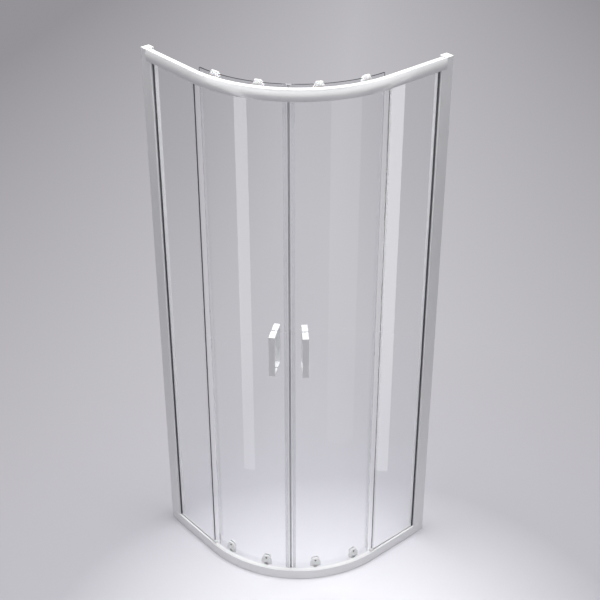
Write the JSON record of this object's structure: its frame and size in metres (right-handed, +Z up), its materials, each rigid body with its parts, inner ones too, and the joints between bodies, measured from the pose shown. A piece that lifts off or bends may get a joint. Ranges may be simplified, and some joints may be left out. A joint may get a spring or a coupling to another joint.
{
  "type": "quadrant shower enclosure",
  "caption": "Corner shower enclosure with a quarter-round front: fixed side panes, two curved sliding doors on rollers, white rails, posts and bow handles.",
  "frame": {"origin": "on the floor, at the middle of the square that the enclosure fills; the room corner is at (-0.35, +0.35)", "axes": "+Z up; +X away from the wall that the left panel meets; +Y towards the wall that the right panel meets"},
  "size_m": [0.6999, 0.6999, 1.965],
  "materials": {
    "white_metal": "gloss white powder coat",
    "white_plastic": "gloss",
    "wheel_plastic": "satin nylon",
    "clear_glass": "clear toughened",
    "clear_seal": "translucent soft vinyl",
    "dark_rubber": "matt",
    "steel": "stainless"
  },
  "bodies": {
    "frame": {"wall_profile_left": "white_metal", "wall_profile_right": "white_metal", "post_left": "white_metal", "post_right": "white_metal", "wall_profile_caps": "white_plastic", "corner_keys": "white_plastic", "rail_screws": "steel", "profile_screws": "steel", "top_rail": "white_metal", "bottom_rail": "white_metal", "bottom_rail_infill": "white_plastic", "door_stops": "dark_rubber", "fixed_glass_left": "clear_glass", "fixed_glass_right": "clear_glass", "glazing_gaskets": "dark_rubber", "rail_glazing": "clear_seal", "fixed_edge_seals": "clear_seal", "glass_end_clips": "white_plastic"},
    "door_left": {"door_glass_left": "clear_glass", "magnetic_seal_left": "clear_seal", "door_trailing_seal_left": "clear_seal", "outer_handle_left": "white_metal", "inner_handle_left": "white_metal", "handle_pads_left": "clear_seal", "handle_studs_left": "steel", "top_carriages_left": "white_plastic", "top_axles_left": "steel", "top_inner_caps_left": "white_plastic", "bottom_housings_left": "white_plastic", "bottom_inner_caps_left": "white_plastic", "carriage_bolts_left": "steel", "slider_spring_left_rear": "steel", "slider_spring_left_front": "steel"},
    "door_right": {"door_glass_right": "clear_glass", "magnetic_seal_right": "clear_seal", "door_trailing_seal_right": "clear_seal", "outer_handle_right": "white_metal", "inner_handle_right": "white_metal", "handle_pads_right": "clear_seal", "handle_studs_right": "steel", "top_carriages_right": "white_plastic", "top_axles_right": "steel", "top_inner_caps_right": "white_plastic", "bottom_housings_right": "white_plastic", "bottom_inner_caps_right": "white_plastic", "carriage_bolts_right": "steel", "slider_spring_right_rear": "steel", "slider_spring_right_front": "steel"},
    "release_slider_left_rear": {"release_slider_left_rear": "white_plastic"},
    "top_wheel_left_rear": {"top_wheel_left_rear": "wheel_plastic"},
    "bottom_wheel_left_rear": {"bottom_wheel_left_rear": "wheel_plastic"},
    "release_slider_left_front": {"release_slider_left_front": "white_plastic"},
    "top_wheel_left_front": {"top_wheel_left_front": "wheel_plastic"},
    "bottom_wheel_left_front": {"bottom_wheel_left_front": "wheel_plastic"},
    "release_slider_right_rear": {"release_slider_right_rear": "white_plastic"},
    "top_wheel_right_rear": {"top_wheel_right_rear": "wheel_plastic"},
    "bottom_wheel_right_rear": {"bottom_wheel_right_rear": "wheel_plastic"},
    "release_slider_right_front": {"release_slider_right_front": "white_plastic"},
    "top_wheel_right_front": {"top_wheel_right_front": "wheel_plastic"},
    "bottom_wheel_right_front": {"bottom_wheel_right_front": "wheel_plastic"}
  },
  "joints": [
    {"name": "left_door_travel", "type": "hinge", "parent": "frame", "child": "door_left", "pos_m": [-0.1153, 0.1921, 0.975], "axis": [0, 0, -1], "range_deg": [0, 20.4]},
    {"name": "right_door_travel", "type": "hinge", "parent": "frame", "child": "door_right", "pos_m": [-0.1921, 0.1153, 0.975], "axis": [0, 0, 1], "range_deg": [0, 20.4]},
    {"name": "release_slider_left_rear_press", "type": "slide", "parent": "door_left", "child": "release_slider_left_rear", "axis": [0, 0, -1], "range_m": [0, 0.005], "stiffness_N_per_m": 400, "springref_m": -0.003, "deforming": ["slider_spring_left_rear"]},
    {"name": "top_wheel_left_rear_spin", "type": "hinge", "parent": "door_left", "child": "top_wheel_left_rear", "pos_m": [-0.00782, -0.33141, 1.9296], "axis": [0.1822, -0.9833, 0], "continuous": true},
    {"name": "bottom_wheel_left_rear_spin", "type": "hinge", "parent": "release_slider_left_rear", "child": "bottom_wheel_left_rear", "pos_m": [-0.00782, -0.33141, 0.0216], "axis": [0.1822, -0.9833, 0], "continuous": true},
    {"name": "release_slider_left_front_press", "type": "slide", "parent": "door_left", "child": "release_slider_left_front", "axis": [0, 0, -1], "range_m": [0, 0.005], "stiffness_N_per_m": 400, "springref_m": -0.003, "deforming": ["slider_spring_left_front"]},
    {"name": "top_wheel_left_front_spin", "type": "hinge", "parent": "door_left", "child": "top_wheel_left_front", "pos_m": [0.13942, -0.27415, 1.9296], "axis": [0.5299, -0.848, 0], "continuous": true},
    {"name": "bottom_wheel_left_front_spin", "type": "hinge", "parent": "release_slider_left_front", "child": "bottom_wheel_left_front", "pos_m": [0.13942, -0.27415, 0.0216], "axis": [0.5299, -0.848, 0], "continuous": true},
    {"name": "release_slider_right_rear_press", "type": "slide", "parent": "door_right", "child": "release_slider_right_rear", "axis": [0, 0, -1], "range_m": [0, 0.005], "stiffness_N_per_m": 400, "springref_m": -0.003, "deforming": ["slider_spring_right_rear"]},
    {"name": "top_wheel_right_rear_spin", "type": "hinge", "parent": "door_right", "child": "top_wheel_right_rear", "pos_m": [0.33141, 0.00782, 1.9296], "axis": [0.9833, -0.1822, 0], "continuous": true},
    {"name": "bottom_wheel_right_rear_spin", "type": "hinge", "parent": "release_slider_right_rear", "child": "bottom_wheel_right_rear", "pos_m": [0.33141, 0.00782, 0.0216], "axis": [0.9833, -0.1822, 0], "continuous": true},
    {"name": "release_slider_right_front_press", "type": "slide", "parent": "door_right", "child": "release_slider_right_front", "axis": [0, 0, -1], "range_m": [0, 0.005], "stiffness_N_per_m": 400, "springref_m": -0.003, "deforming": ["slider_spring_right_front"]},
    {"name": "top_wheel_right_front_spin", "type": "hinge", "parent": "door_right", "child": "top_wheel_right_front", "pos_m": [0.27415, -0.13942, 1.9296], "axis": [0.848, -0.5299, 0], "continuous": true},
    {"name": "bottom_wheel_right_front_spin", "type": "hinge", "parent": "release_slider_right_front", "child": "bottom_wheel_right_front", "pos_m": [0.27415, -0.13942, 0.0216], "axis": [0.848, -0.5299, 0], "continuous": true}
  ],
  "couplings": [
    {"joint": "top_wheel_left_rear_spin", "follows": "left_door_travel", "ratio": 56.255},
    {"joint": "bottom_wheel_left_rear_spin", "follows": "left_door_travel", "ratio": -56.255},
    {"joint": "top_wheel_left_front_spin", "follows": "left_door_travel", "ratio": 55.925},
    {"joint": "bottom_wheel_left_front_spin", "follows": "left_door_travel", "ratio": -55.925},
    {"joint": "top_wheel_right_rear_spin", "follows": "right_door_travel", "ratio": -56.255},
    {"joint": "bottom_wheel_right_rear_spin", "follows": "right_door_travel", "ratio": 56.255},
    {"joint": "top_wheel_right_front_spin", "follows": "right_door_travel", "ratio": -55.925},
    {"joint": "bottom_wheel_right_front_spin", "follows": "right_door_travel", "ratio": 55.925}
  ]
}
